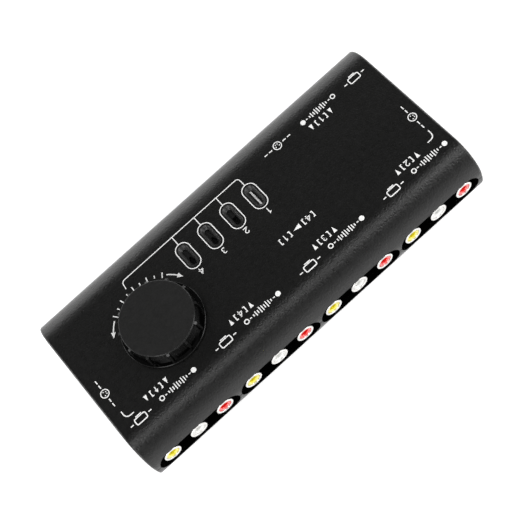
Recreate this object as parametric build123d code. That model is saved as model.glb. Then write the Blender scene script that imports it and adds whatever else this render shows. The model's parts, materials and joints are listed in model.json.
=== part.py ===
from build123d import *
import math
import os

# Sockets: the rear row of round sockets sets the length of the case
jack_pitch = 14.0
jacks_per_group = 3
rear_groups = 4
group_gap = 15.5
row_end_margin = 9.75
jack_recess = 0.85
slot_height = 10.2
slot_reach = 7.15

# Round socket, measured along its own axis from the front of its sleeve
sleeve_radius = 4.15
sleeve_wall = 0.4
sleeve_lip = 0.7
sleeve_reach = 8.5
sleeve_seat = 3.0
sleeve_flange_radius = 4.7
core_setback = 0.5
core_length = 15.0
core_bore_radius = 1.65
contact_radius = 2.1
contact_bore_radius = 1.2
contact_overhang = 0.8
tail_width = 0.7
tail_below_board = 1.0
housing_width = 11.0
housing_depth = 10.0
housing_over_axis = 6.0
jack_over_board = 6.5
seat_gap = 0.05

# Four-pin video socket
din_hole_radius = 6.2
din_shield_radius = 5.3
din_shield_wall = 0.45
din_core_radius = 3.5
din_core_setback = 1.0
din_nose = 7.5
din_block_width = 14.0
din_block_depth = 8.0
din_block_over_axis = 6.4
din_pin_radius = 0.55
din_pin_depth = 5.0
din_upper_pin_out = 1.7
din_upper_pin_up = 0.5
din_lower_pin_out = 1.05
din_lower_pin_down = 1.5
din_key_width = 2.0
din_key_height = 0.8
din_key_up = 2.1
din_contact_length = 6.0
din_from_jack = 14.8
din_row_gap = 6.3

# Case shells
case_width = 82.5
body_height = 30.0
foot_height = 2.0
shoulder_straight = 1.1
belly_radius = 12.0
wall = 2.2
end_round = 1.0
seam_edge = 0.25
lip_height = 1.5
lip_thickness = 1.0
lip_gap = 0.15
overrun = 4.0
tiny = 0.01

# Feet
foot_radius = 5.0
foot_recess = 0.6
foot_round = 0.5
foot_gap = 0.1
foot_from_end = 13.0
foot_from_side = 18.0

# Circuit board and its screws
board_thickness = 1.6
board_edge_gap = 1.2
board_hole_gap = 0.4
standoff_radius = 3.0
standoff_height = 4.0
board_screw_radius = 1.2
board_screw_head_radius = 2.4
board_screw_head = 1.5
board_screw_bite = 3.0
board_screw_from_middle = 24.0
board_screw_housing_gap = 4.5
board_screw_edge_gap = 7.05

# Screws that hold the two shells together
post_radius = 4.4
boss_radius = 3.6
post_gap = 1.0
post_left_from_end = 27.0
post_right_from_end = 21.0
case_screw_radius = 1.4
case_screw_head_radius = 2.7
case_screw_head = 1.8
case_screw_sink = 5.0
case_screw_bite = 8.0
case_screw_head_gap = 0.3
screw_cross_length = 3.2
screw_cross_width = 0.8
screw_cross_depth = 0.9

# Knob
knob_from_end = 41.1
knob_room_share = 0.681
knob_gap = 0.5
knob_height = 9.1
knob_top_radius = 16.15
knob_waist_radius = 16.7
knob_flange_radius = 18.4
knob_flange = 1.1
knob_flange_round = 0.35
knob_edge = 0.55
knob_ribs = 12
knob_rib_turn = 8.5
knob_rib_width = 1.2
knob_rib_top_out = 1.0
knob_rib_foot_out = 1.0
knob_rib_drop = 0.25
knob_rib_slope = 0.9
knob_rib_round = 0.3
knob_roof = 2.2
knob_skirt = 1.8
knob_hub_radius = 5.6

# Selector shaft and its bearing
shaft_radius = 3.0
shaft_flat = 0.6
running_gap = 0.05
collar_radius = 5.4
collar_height = 3.0
collar_clear = 0.4
pivot_radius = 1.5
clip_radius = 4.8
clip_thickness = 0.6
clip_groove = 0.4
clip_mouth = 4.0
clip_lid_gap = 2.5

# Window row and the indicator that slides under it
windows = 4
window_pitch = 12.28
window_row_drop = 16.25
window_from_knob = 26.1
window_length = 11.6
window_width = 4.9
window_depth = 1.5
slit_length = 8.4
slit_width = 2.3
indicator_length = 8.8
indicator_width = 0.8
indicator_thickness = 0.9

# Rack and pinion that move the indicator with the knob
step_angle = 45.0
teeth_per_step = 4
pressure_angle = 20.0
tooth_backlash = 0.24
addendum_share = 0.85
dedendum_share = 1.1
rack_spare_teeth = 3
rack_end_share = 0.36
slide_gap = 0.3
slider_thickness = 2.0
carriage_half = 5.5
carriage_margin = 0.8
rail_thickness = 1.5
rail_left_spare = 2.0
pinion_thickness = 2.4
pinion_hub_radius = 5.5

# Plate that holds the slider up
keeper_thickness = 1.2
keeper_tooth_gap = 1.4
keeper_end_gap = 1.0
keeper_edge = 0.3
keeper_boss_radius = 2.0
keeper_screw_radius = 0.9
keeper_screw_head_radius = 1.7
keeper_screw_head = 1.2
keeper_screw_bite = 4.4
keeper_screw_shares = (0.035, 0.5, 0.95)

# Rotary switch on the board, under the knob
switch_width = 28.0
switch_wall = 1.8
switch_floor = 2.0
switch_height = 6.4
switch_cover = 1.2
rotor_gap = 0.8
rotor_thickness = 2.0
rotor_lift = 1.2
rotor_hub_radius = 5.0
notch_radius = 1.5
spring_thickness = 0.35
spring_height = 1.6
spring_half = 5.0
spring_gap = 0.2
spring_dip = 0.75
spring_bump_half = 1.3
poles = 5
track_first_radius = 4.0
track_edge = 1.4
pad_length = 1.3
pad_share = 0.6
pad_height = 0.3
wiper_gap = 0.06
common_angle = 225.0

# Worked out from the sizes above
group_span = (jacks_per_group - 1) * jack_pitch
group_stride = group_span + group_gap
row_length = (rear_groups - 1) * group_stride + group_span
case_length = row_length + 2 * row_end_margin
half_length = case_length / 2
half_width = case_width / 2
top_z = foot_height + body_height
inner_top_z = top_z - wall
floor_z = foot_height + wall
board_bottom = floor_z + standoff_height
board_top = board_bottom + board_thickness
jack_z = board_top + jack_over_board
shoulder_radius = top_z - jack_z - shoulder_straight
jack_face_y = half_width - jack_recess
jack_face_x = half_length - jack_recess
housing_back_y = jack_face_y - sleeve_reach - housing_depth
din_end_y = housing_back_y - contact_overhang - din_row_gap - din_block_width / 2
board_half_length = half_length - wall - board_edge_gap
belly_inner = belly_radius - wall
belly_side = half_width - belly_radius
board_sink = foot_height + belly_radius - board_bottom
board_half_width = belly_side + math.sqrt(belly_inner ** 2 - board_sink ** 2) - board_edge_gap
knob_x = half_length - knob_from_end
knob_room = half_width - wall + housing_back_y
knob_y = knob_room_share * knob_room + wall - half_width
window_row_y = knob_y - window_row_drop
first_window_x = knob_x - window_from_knob - (windows - 1) * window_pitch
travel = (windows - 1) * window_pitch
tooth_pitch = window_pitch / teeth_per_step
module = tooth_pitch / math.pi
pinion_teeth = round(360 / step_angle) * teeth_per_step
pitch_radius = pinion_teeth * module / 2
tip_radius = pitch_radius + addendum_share * module
root_radius = pitch_radius - dedendum_share * module
rack_line_y = knob_y - pitch_radius
slider_top = inner_top_z - slide_gap
slider_low = slider_top - slider_thickness
carriage_rear_y = window_row_y + indicator_length / 2 + carriage_margin
carriage_front_y = window_row_y - indicator_length / 2 - carriage_margin
carriage_left_x = first_window_x - carriage_half
slider_right_x = knob_x + rack_end_share * tooth_pitch
keeper_top = slider_low - slide_gap
keeper_low = keeper_top - keeper_thickness
rail_front_y = carriage_front_y - slide_gap - rail_thickness
rail_rear_y = carriage_rear_y + slide_gap
rail_left_x = carriage_left_x - slide_gap - rail_left_spare
rail_middle_x = first_window_x + travel + carriage_half + slide_gap
keeper_screw_y = rail_front_y - keeper_boss_radius + rail_thickness / 3
keeper_front_y = keeper_screw_y - keeper_boss_radius - keeper_edge
keeper_right_x = half_length - wall - keeper_end_gap
post_rear_y = housing_back_y - post_radius - post_gap
post_front_y = rail_front_y - post_gap - boss_radius
post_left_x = post_left_from_end - half_length
post_right_x = half_length - post_right_from_end
post_places = (
    (post_left_x, post_rear_y),
    (post_left_x, -post_rear_y),
    (post_right_x, post_rear_y),
    (post_right_x, post_front_y),
)
board_screw_rear_y = housing_back_y - board_screw_housing_gap - board_screw_head_radius
board_screw_front_y = board_screw_edge_gap + board_screw_head_radius - board_half_width
board_screw_places = [
    (x, y)
    for x in (-board_screw_from_middle, board_screw_from_middle)
    for y in (board_screw_rear_y, board_screw_front_y)
]
foot_places = [
    (sx * (half_length - foot_from_end), sy * (half_width - foot_from_side))
    for sx in (-1, 1)
    for sy in (-1, 1)
]
switch_top = board_top + switch_height
switch_bore = switch_width / 2 - switch_wall
rotor_low = board_top + switch_floor + rotor_lift
rotor_top = rotor_low + rotor_thickness
rotor_radius = switch_bore - rotor_gap
track_step = (rotor_radius - track_edge - track_first_radius) / (poles - 1)
pad_width = pad_share * track_step
hub_low = switch_top + switch_cover + clip_lid_gap + clip_thickness
shaft_top = top_z + knob_height - knob_roof
knob_hub_low = top_z + collar_height + collar_clear

STAND = (Align.CENTER, Align.CENTER, Align.MIN)
HANG = (Align.CENTER, Align.CENTER, Align.MAX)


# Small builders used by several pieces
def post(x, y, low, high, radius):
    """An upright cylinder between two heights."""
    return Pos(x, y, low) * Cylinder(radius, high - low, align=STAND)


def bar(x, y, z):
    """A box given by its low and high limit on each axis."""
    size = [high - low for low, high in (x, y, z)]
    middle = [(low + high) / 2 for low, high in (x, y, z)]
    return Pos(*middle) * Box(*size)


def plug(radius, front, back):
    """A cylinder along a socket's axis, between two depths behind its front."""
    return Pos(0, 0, -front) * Cylinder(radius, back - front, align=HANG)


def long_block(inset, low, high, rounded, radius):
    """A bar along the case with its upper (-1) or lower (0) long edges rounded."""
    section = Pos(0, low) * Rectangle(case_width - 2 * inset, high - low, align=(Align.CENTER, Align.MIN))
    corners = section.vertices().group_by(Axis.Y)[rounded]
    section = fillet(corners, radius - inset)
    return extrude(Plane.YZ * section, half_length - inset, both=True)


def round_ends(block):
    """Softens the edges of both flat ends, leaving the seam between the shells sharp."""
    ends = (block.faces().sort_by(Axis.X)[0], block.faces().sort_by(Axis.X)[-1])
    edges = [e for face in ends for e in face.edges() if abs(e.center().Z - jack_z) > tiny]
    return fillet(edges, end_round)


def frame_ring(outer_inset, inner_inset, low, high):
    """A rectangular ring that follows the inside of the case wall."""
    sides = [
        Rectangle(case_length - 2 * inset, case_width - 2 * inset) for inset in (outer_inset, inner_inset)
    ]
    return Pos(0, 0, low) * extrude(sides[0] - sides[1], high - low)


def joined(solids):
    """Separate solids kept together as one node."""
    return Compound(children=list(solids))


# Places of the sockets: each is a plane whose normal leaves the case along the socket's axis
def outward(x, y, direction):
    across = Vector(0, 0, 1).cross(Vector(*direction))
    return Plane(origin=(x, y, jack_z), x_dir=across, z_dir=direction)


def rear_jacks(group):
    first = group * group_stride - row_length / 2
    return [outward(first + i * jack_pitch, jack_face_y, (0, 1, 0)) for i in range(jacks_per_group)]


def front_jacks():
    first = row_end_margin - half_length
    return [outward(first + i * jack_pitch, -jack_face_y, (0, -1, 0)) for i in range(jacks_per_group)]


jack_groups = {"in1": front_jacks()}
for number, group_name in enumerate(("in2", "in3", "in4", "out")):
    jack_groups[group_name] = rear_jacks(number)
front_order = ("video", "left", "right")
rear_order = ("right", "left", "video")
din_front_x = row_end_margin - half_length + group_span + din_from_jack
din_sockets = {
    "in1": outward(din_front_x, -jack_face_y, (0, -1, 0)),
    "in2": outward(-jack_face_x, din_end_y, (-1, 0, 0)),
    "out": outward(jack_face_x, din_end_y, (1, 0, 0)),
}


def socket_cuts():
    """What the sockets remove from the walls of both shells."""
    depth = wall + lip_gap + lip_thickness + overrun
    cuts = []
    for places in jack_groups.values():
        middle = places[len(places) // 2]
        slot = extrude(SlotOverall(group_span + 2 * slot_reach, slot_height), depth, both=True)
        cuts.append(middle * slot)
    for place in din_sockets.values():
        cuts.append(place * extrude(Circle(din_hole_radius), depth, both=True))
    return cuts


# Upper shell
def window_cut(x):
    place = Pos(x, window_row_y, top_z)
    rim = SlotOverall(window_length, window_width, rotation=90)
    foot = Pos(0, 0, -window_depth) * SlotOverall(slit_length, slit_width, rotation=90)
    slit = extrude(SlotOverall(slit_length, slit_width, rotation=90), -wall - overrun)
    return place * (loft([rim.face(), foot.face()]) + slit)


def keeper_screw_places():
    span = keeper_right_x - rail_left_x
    return [(rail_left_x + share * span, keeper_screw_y) for share in keeper_screw_shares]


def upper_case():
    outside = round_ends(long_block(0, jack_z, top_z, -1, shoulder_radius))
    outside = chamfer(outside.edges().group_by(Axis.Z)[0], seam_edge)
    shell = outside - long_block(wall, jack_z - overrun, inner_top_z, -1, shoulder_radius)
    rail_z = (keeper_top, inner_top_z + wall / 2)
    inside = [post(x, y, jack_z, top_z, boss_radius) for x, y in post_places]
    inside += [post(x, y, keeper_top, top_z - wall / 2, keeper_boss_radius) for x, y in keeper_screw_places()]
    inside.append(bar((rail_left_x, keeper_right_x), (rail_front_y, rail_front_y + rail_thickness), rail_z))
    inside.append(bar((rail_left_x, rail_middle_x), (rail_rear_y, rail_rear_y + rail_thickness), rail_z))
    for piece in inside:
        shell += piece & outside
    shell += post(knob_x, knob_y, top_z - wall / 2, top_z + collar_height, collar_radius)
    cuts = socket_cuts()
    cuts += [window_cut(first_window_x + i * window_pitch) for i in range(windows)]
    cuts.append(post(knob_x, knob_y, jack_z, top_z + collar_height + overrun, shaft_radius + running_gap))
    for x, y in post_places:
        cuts.append(post(x, y, jack_z - overrun, jack_z + case_screw_bite, case_screw_radius + seat_gap))
    for x, y in keeper_screw_places():
        cuts.append(post(x, y, keeper_low, keeper_low + keeper_screw_bite, keeper_screw_radius + seat_gap))
    return shell - cuts


# Lower shell
def lower_case():
    outside = round_ends(long_block(0, foot_height, jack_z, 0, belly_radius))
    outside = chamfer(outside.edges().group_by(Axis.Z)[-1], seam_edge)
    shell = outside - long_block(wall, floor_z, jack_z + overrun, 0, belly_radius)
    lip_inner = wall + lip_gap + lip_thickness
    shell += frame_ring(wall - tiny, lip_inner, jack_z - lip_height, jack_z)
    shell += frame_ring(wall + lip_gap, lip_inner, jack_z, jack_z + lip_height)
    inside = [post(x, y, foot_height, jack_z, post_radius) for x, y in post_places]
    inside += [post(x, y, foot_height, board_bottom, standoff_radius) for x, y in board_screw_places]
    for piece in inside:
        shell += piece & outside
    cuts = socket_cuts()
    for x, y in post_places:
        cuts.append(post(x, y, foot_height - overrun, jack_z + overrun, case_screw_radius + seat_gap))
        head_room = case_screw_head_radius + case_screw_head_gap
        cuts.append(post(x, y, foot_height - overrun, foot_height + case_screw_sink, head_room))
        cuts.append(post(x, y, jack_z, jack_z + lip_height + overrun, boss_radius + lip_gap))
    for x, y in board_screw_places:
        deep = board_bottom - board_screw_bite
        cuts.append(post(x, y, deep, board_bottom + overrun, board_screw_radius + seat_gap))
    for x, y in foot_places:
        cuts.append(post(x, y, foot_height - overrun, foot_height + foot_recess, foot_radius + foot_gap))
    return shell - cuts


def rubber_feet():
    feet = []
    for x, y in foot_places:
        foot = post(x, y, 0, foot_height + foot_recess, foot_radius)
        feet.append(fillet(foot.edges().group_by(Axis.Z)[0], foot_round))
    return joined(feet)


def case_screws():
    head_top = foot_height + case_screw_sink
    head_low = head_top - case_screw_head
    half_length_cut, half_width_cut = screw_cross_length / 2, screw_cross_width / 2
    screws = []
    for x, y in post_places:
        head = post(x, y, head_low, head_top, case_screw_head_radius)
        for across, along in ((half_length_cut, half_width_cut), (half_width_cut, half_length_cut)):
            deep = (head_low - overrun, head_low + screw_cross_depth)
            head -= bar((x - across, x + across), (y - along, y + along), deep)
        screws.append(head + post(x, y, head_top, jack_z + case_screw_bite - slide_gap, case_screw_radius))
    return joined(screws)


# Circuit board
def main_board():
    board = bar(
        (-board_half_length, board_half_length),
        (-board_half_width, board_half_width),
        (board_bottom, board_top),
    )
    low, high = board_bottom - overrun, board_top + overrun
    cuts = [post(x, y, low, high, post_radius + board_hole_gap) for x, y in post_places]
    cuts += [post(x, y, low, high, board_screw_radius + seat_gap) for x, y in board_screw_places]
    for places in jack_groups.values():
        for place in places:
            tail = place * Pos(0, 0, -tail_depth())
            cuts.append(post(tail.position.X, tail.position.Y, low, high, tail_width))
    cuts.append(post(knob_x, knob_y, low, high, pivot_radius + board_hole_gap))
    return board - cuts


def board_screws():
    screws = []
    for x, y in board_screw_places:
        head = post(x, y, board_top, board_top + board_screw_head, board_screw_head_radius)
        shank_low = board_bottom - board_screw_bite + slide_gap
        screws.append(head + post(x, y, shank_low, board_top, board_screw_radius))
    return joined(screws)


# Round sockets, each built along its own axis
def tail_depth():
    return sleeve_reach + housing_depth + contact_overhang - tail_width / 2


def sleeve():
    back = sleeve_reach + sleeve_seat
    inner = sleeve_radius - sleeve_wall
    tube = plug(sleeve_radius, 0, sleeve_reach) + plug(sleeve_flange_radius, sleeve_reach, back)
    return tube - plug(inner, core_setback, back) - plug(inner - sleeve_lip, 0, core_setback)


def core():
    back = core_setback + core_length
    return plug(sleeve_radius - sleeve_wall - seat_gap, core_setback, back) - plug(core_bore_radius, 0, back)


def contact():
    front = core_setback + core_length
    back = sleeve_reach + housing_depth + contact_overhang
    tube = plug(contact_radius, front, back) - plug(contact_bore_radius, front, back - tail_width)
    drop = jack_over_board + board_thickness + tail_below_board
    tail = Pos(0, 0, -tail_depth()) * bar(
        (-tail_width / 2, tail_width / 2),
        (-drop, 0),
        (-tail_width / 2, tail_width / 2),
    )
    return tube + tail


def housing():
    body = bar(
        (-housing_width / 2, housing_width / 2),
        (-jack_over_board, housing_over_axis),
        (-sleeve_reach - housing_depth, -sleeve_reach),
    )
    core_back = core_setback + core_length
    body -= plug(sleeve_flange_radius + seat_gap, sleeve_reach, sleeve_reach + sleeve_seat)
    body -= plug(sleeve_radius - sleeve_wall, sleeve_reach, core_back)
    return body - plug(contact_radius + seat_gap, core_back, sleeve_reach + housing_depth)


# Four-pin video sockets, each built along its own axis
def din_pin_places():
    upper = [(side * din_upper_pin_out, din_upper_pin_up) for side in (-1, 1)]
    lower = [(side * din_lower_pin_out, -din_lower_pin_down) for side in (-1, 1)]
    return upper + lower


def din_shield():
    return plug(din_shield_radius, 0, din_nose) - plug(din_shield_radius - din_shield_wall, 0, din_nose)


def din_core():
    body = plug(din_core_radius, din_core_setback, din_nose)
    pin_back = din_core_setback + din_pin_depth
    for x, y in din_pin_places():
        body -= Pos(x, y, 0) * plug(din_pin_radius, 0, din_nose)
    key = bar(
        (-din_key_width / 2, din_key_width / 2),
        (din_key_up, din_key_up + din_key_height),
        (-pin_back, 0),
    )
    return body - key


def din_block():
    body = bar(
        (-din_block_width / 2, din_block_width / 2),
        (-jack_over_board, din_block_over_axis),
        (-din_nose - din_block_depth, -din_nose),
    )
    for x, y in din_pin_places():
        body -= Pos(x, y, 0) * plug(din_pin_radius, din_nose, din_nose + din_contact_length)
    return body


def din_contacts():
    front = din_core_setback + din_pin_depth
    back = din_nose + din_contact_length
    pin = plug(din_pin_radius - seat_gap, front, back)
    return [Pos(x, y, 0) * pin for x, y in din_pin_places()]


# Knob, shaft and pinion turn together
def selector_knob():
    low = top_z + knob_gap
    high = top_z + knob_height
    waist = low + knob_flange
    profile = Polyline(
        (0, low),
        (knob_flange_radius, low),
        (knob_flange_radius, waist),
        (knob_waist_radius, waist),
        (knob_top_radius, high),
        (0, high),
        close=True,
    )
    section = make_face(profile)
    section = fillet(section.vertices().group_by(Axis.X)[-1], knob_flange_round)
    section = fillet(section.vertices().group_by(Axis.Y)[-1].sort_by(Axis.X)[-1:], knob_edge)
    body = revolve(Plane.XZ * section, Axis.Z)
    hollow = knob_waist_radius - knob_skirt
    body -= post(0, 0, low - overrun, high - knob_roof, hollow)
    rib_top = high - knob_rib_drop
    rib_profile = Polyline(
        (hollow, waist - knob_flange / 2),
        (knob_waist_radius + knob_rib_foot_out, waist - knob_flange / 2),
        (knob_waist_radius + knob_rib_foot_out, waist),
        (knob_top_radius + knob_rib_top_out, rib_top - knob_rib_slope),
        (knob_top_radius - knob_edge, rib_top),
        (knob_top_radius - knob_skirt, rib_top),
        (hollow, high - knob_roof),
        close=True,
    )
    rib = extrude(Plane.XZ * make_face(rib_profile), knob_rib_width / 2, both=True)
    outer_face = rib.faces().sort_by(Axis.X)[-2]
    rib = fillet([e for e in outer_face.edges() if e.center().Z > waist + tiny], knob_rib_round)
    body += [Rot(0, 0, knob_rib_turn + i * 360 / knob_ribs) * rib for i in range(knob_ribs)]
    body += post(0, 0, knob_hub_low, high - knob_roof + tiny, knob_hub_radius)
    body -= shaft_hole(knob_hub_low - overrun, shaft_top + seat_gap)
    return Pos(knob_x, knob_y, 0) * body


def shaft_hole(low, high):
    """A hole with one flat side that the shaft drives."""
    flat_x = shaft_radius - shaft_flat + seat_gap
    round_hole = post(0, 0, low, high, shaft_radius + seat_gap)
    return round_hole - bar((flat_x, flat_x + overrun), (-overrun, overrun), (low, high))


def selector_shaft():
    body = post(0, 0, rotor_low, shaft_top, shaft_radius)
    body += post(0, 0, board_top, rotor_low, pivot_radius)
    flat_x = (shaft_radius - shaft_flat, shaft_radius + overrun)
    flat_y = (-overrun, overrun)
    body -= bar(flat_x, flat_y, (knob_hub_low, shaft_top + overrun))
    body -= bar(flat_x, flat_y, (hub_low, slider_top))
    body -= bar(flat_x, flat_y, (rotor_low, switch_top))
    groove = post(0, 0, hub_low - clip_thickness, hub_low, shaft_radius + overrun)
    body -= groove - post(0, 0, hub_low - clip_thickness, hub_low, shaft_radius - clip_groove)
    return Pos(knob_x, knob_y, 0) * body


def shaft_clip():
    ring = post(0, 0, hub_low - clip_thickness, hub_low, clip_radius)
    ring -= post(0, 0, hub_low - overrun, hub_low + overrun, shaft_radius - clip_groove + seat_gap)
    mouth = bar((0, clip_radius + overrun), (-clip_mouth / 2, clip_mouth / 2), (hub_low - overrun, hub_low))
    return Pos(knob_x, knob_y, 0) * (ring - mouth)


def involute(angle):
    return math.tan(angle) - angle


def tooth_half_angle(radius):
    """Half the angle that a pinion tooth fills at a radius."""
    at_pitch = math.radians(pressure_angle)
    base_radius = pitch_radius * math.cos(at_pitch)
    here = math.acos(min(1, base_radius / radius))
    thick = math.pi / (2 * pinion_teeth) - tooth_backlash / (4 * pitch_radius)
    return thick + involute(at_pitch) - involute(here)


def drive_pinion():
    outline = []
    for i in range(pinion_teeth):
        middle = -math.pi / 2 + (i + 0.5) * 2 * math.pi / pinion_teeth
        rising = [(r, middle - tooth_half_angle(r)) for r in (root_radius, pitch_radius, tip_radius)]
        falling = [(r, middle + tooth_half_angle(r)) for r in (tip_radius, pitch_radius, root_radius)]
        outline += [(r * math.cos(a), r * math.sin(a)) for r, a in rising + falling]
    wheel = extrude(make_face(Polyline(*outline, close=True)), -pinion_thickness)
    body = Pos(0, 0, slider_top) * wheel + post(0, 0, hub_low, slider_top, pinion_hub_radius)
    body -= shaft_hole(hub_low - overrun, slider_top + overrun)
    return Pos(knob_x, knob_y, 0) * body


# Indicator slider: a toothed bar with a carriage under the windows
def indicator_slider():
    root_y = rack_line_y - dedendum_share * module
    tip_y = rack_line_y + addendum_share * module
    slope = math.tan(math.radians(pressure_angle))
    half_thick = tooth_pitch / 4 - tooth_backlash / 4
    half_tip = half_thick - addendum_share * module * slope
    half_root = half_thick + dedendum_share * module * slope
    height = (slider_low, slider_top)
    body = bar((carriage_left_x, slider_right_x), (carriage_front_y, root_y), height)
    right_x = first_window_x + carriage_half
    body += bar((carriage_left_x, right_x), (carriage_front_y, carriage_rear_y), height)
    tooth = make_face(
        Polyline((-half_root, root_y), (half_root, root_y), (half_tip, tip_y), (-half_tip, tip_y), close=True)
    )
    solid_tooth = Pos(knob_x, 0, slider_low) * extrude(tooth, slider_thickness)
    teeth = (windows - 1) * teeth_per_step + rack_spare_teeth
    body += [Pos(-i * tooth_pitch, 0, 0) * solid_tooth for i in range(teeth)]
    return body - indicator(seat_gap)


def indicator(gap):
    half_x = indicator_width / 2 + gap
    half_y = indicator_length / 2 + gap
    return bar(
        (first_window_x - half_x, first_window_x + half_x),
        (window_row_y - half_y, window_row_y + half_y),
        (slider_top - indicator_thickness, slider_top),
    )


def slider_keeper():
    height = (keeper_low, keeper_top)
    inner_y = rack_line_y - dedendum_share * module - keeper_tooth_gap
    plate = bar((rail_left_x, keeper_right_x), (keeper_front_y, inner_y), height)
    plate += bar((rail_left_x, rail_middle_x), (keeper_front_y, rail_rear_y + rail_thickness), height)
    holes = [
        post(x, y, keeper_low - overrun, keeper_top + overrun, keeper_screw_radius + seat_gap)
        for x, y in keeper_screw_places()
    ]
    boss_room = boss_radius + post_gap
    holes.append(post(post_right_x, post_front_y, keeper_low - overrun, keeper_top + overrun, boss_room))
    return plate - holes


def keeper_screws():
    screws = []
    for x, y in keeper_screw_places():
        head = post(x, y, keeper_low - keeper_screw_head, keeper_low, keeper_screw_head_radius)
        shank_top = keeper_low + keeper_screw_bite - slide_gap
        screws.append(head + post(x, y, keeper_low, shank_top, keeper_screw_radius))
    return joined(screws)


# Rotary switch
def switch_base():
    half = switch_width / 2
    body = bar((-half, half), (-half, half), (board_top, switch_top))
    body -= post(0, 0, board_top + switch_floor, switch_top + overrun, switch_bore)
    body -= post(0, 0, board_top - overrun, switch_top, pivot_radius + running_gap)
    body -= bar(
        (-spring_half - spring_gap, spring_half + spring_gap),
        (rotor_radius - spring_dip, rotor_radius + spring_gap + spring_thickness),
        (rotor_low, switch_top + overrun),
    )
    return Pos(knob_x, knob_y, 0) * body


def switch_lid():
    half = switch_width / 2
    plate = bar((-half, half), (-half, half), (switch_top, switch_top + switch_cover))
    plate -= post(0, 0, switch_top - overrun, switch_top + overrun, shaft_radius + running_gap)
    return Pos(knob_x, knob_y, 0) * plate


def switch_rotor():
    body = post(0, 0, rotor_low, rotor_top, rotor_radius)
    body += post(0, 0, rotor_low, switch_top - slide_gap, rotor_hub_radius)
    positions = round(360 / step_angle)
    notch = Pos(0, rotor_radius, 0) * post(0, 0, rotor_low - overrun, rotor_top + overrun, notch_radius)
    body -= [Rot(0, 0, i * step_angle) * notch for i in range(positions)]
    body -= shaft_hole(rotor_low - overrun, switch_top + overrun)
    return Pos(knob_x, knob_y, 0) * body


def detent_spring():
    """A flat strip with a rounded nose that rests in one notch of the rotor."""
    near = rotor_radius + spring_gap
    far = near + spring_thickness
    nose = near - spring_dip
    front = Line((-spring_half, near), (-spring_bump_half, near))
    front += ThreePointArc((-spring_bump_half, near), (0, nose), (spring_bump_half, near))
    front += Line((spring_bump_half, near), (spring_half, near))
    back_nose = nose + spring_thickness
    back = Line((spring_half, near), (spring_half, far))
    back += Line((spring_half, far), (spring_bump_half, far))
    back += ThreePointArc((spring_bump_half, far), (0, back_nose), (-spring_bump_half, far))
    back += Line((-spring_bump_half, far), (-spring_half, far))
    back += Line((-spring_half, far), (-spring_half, near))
    strip = extrude(make_face(front + back), spring_height)
    return Pos(knob_x, knob_y, rotor_low) * strip


def pole_radius(pole):
    return track_first_radius + pole * track_step


def switch_contacts():
    """One pad for each pole and input on the switch floor, and one more for each pole's output."""
    low = board_top + switch_floor
    angles = [i * step_angle for i in range(windows)] + [common_angle]
    pads = []
    for pole in range(poles):
        middle = Pos(pole_radius(pole), 0, low)
        pad = middle * Box(pad_width, pad_length, pad_height, align=STAND)
        pads += [Pos(knob_x, knob_y, 0) * Rot(0, 0, a) * pad for a in angles]
    return joined(pads)


def switch_wipers():
    """Curved bridges under the rotor that join each pole's output to the chosen input."""
    low = board_top + switch_floor + pad_height + wiper_gap
    arms = []
    for pole in range(poles):
        r = pole_radius(pole)
        ring = Circle(r + pad_width / 2) - Circle(r - pad_width / 2)
        arms.append(Pos(knob_x, knob_y, low) * extrude(ring, rotor_low - low))
    return joined(arms)


# Every node and its solids
nodes = {
    "upper_case": upper_case(),
    "lower_case": lower_case(),
    "rubber_feet": rubber_feet(),
    "case_screws": case_screws(),
    "main_board": main_board(),
    "board_screws": board_screws(),
    "selector_knob": selector_knob(),
    "selector_shaft": selector_shaft(),
    "shaft_clip": shaft_clip(),
    "drive_pinion": drive_pinion(),
    "indicator_slider": indicator_slider(),
    "indicator_bar": indicator(0),
    "slider_keeper": slider_keeper(),
    "keeper_screws": keeper_screws(),
    "switch_base": switch_base(),
    "switch_lid": switch_lid(),
    "switch_rotor": switch_rotor(),
    "switch_contacts": switch_contacts(),
    "switch_wipers": switch_wipers(),
    "detent_spring": detent_spring(),
}
for group_name, places in jack_groups.items():
    order = front_order if group_name == "in1" else rear_order
    nodes[f"phono_housings_{group_name}"] = joined(place * housing() for place in places)
    nodes[f"phono_sleeves_{group_name}"] = joined(place * sleeve() for place in places)
    nodes[f"phono_contacts_{group_name}"] = joined(place * contact() for place in places)
    for channel, place in zip(order, places):
        nodes[f"phono_{channel}_core_{group_name}"] = place * core()
for socket_name, place in din_sockets.items():
    nodes[f"svideo_block_{socket_name}"] = place * din_block()
    nodes[f"svideo_shield_{socket_name}"] = place * din_shield()
    nodes[f"svideo_core_{socket_name}"] = place * din_core()
nodes["svideo_contacts"] = joined(place * pin for place in din_sockets.values() for pin in din_contacts())

os.makedirs("parts", exist_ok=True)
for node_name, shape in nodes.items():
    export_step(shape, f"parts/{node_name}.step")
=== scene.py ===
"""Looks of an audio video selector box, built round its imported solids.

Lengths are in metres in the part's own frame: +X along the case, +Y towards the rear sockets, +Z up.
Printed marks are laid out in millimetres on the flat top and scaled when they are built.
"""
import json
import math

import bpy
from mathutils import Matrix, Vector


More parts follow.
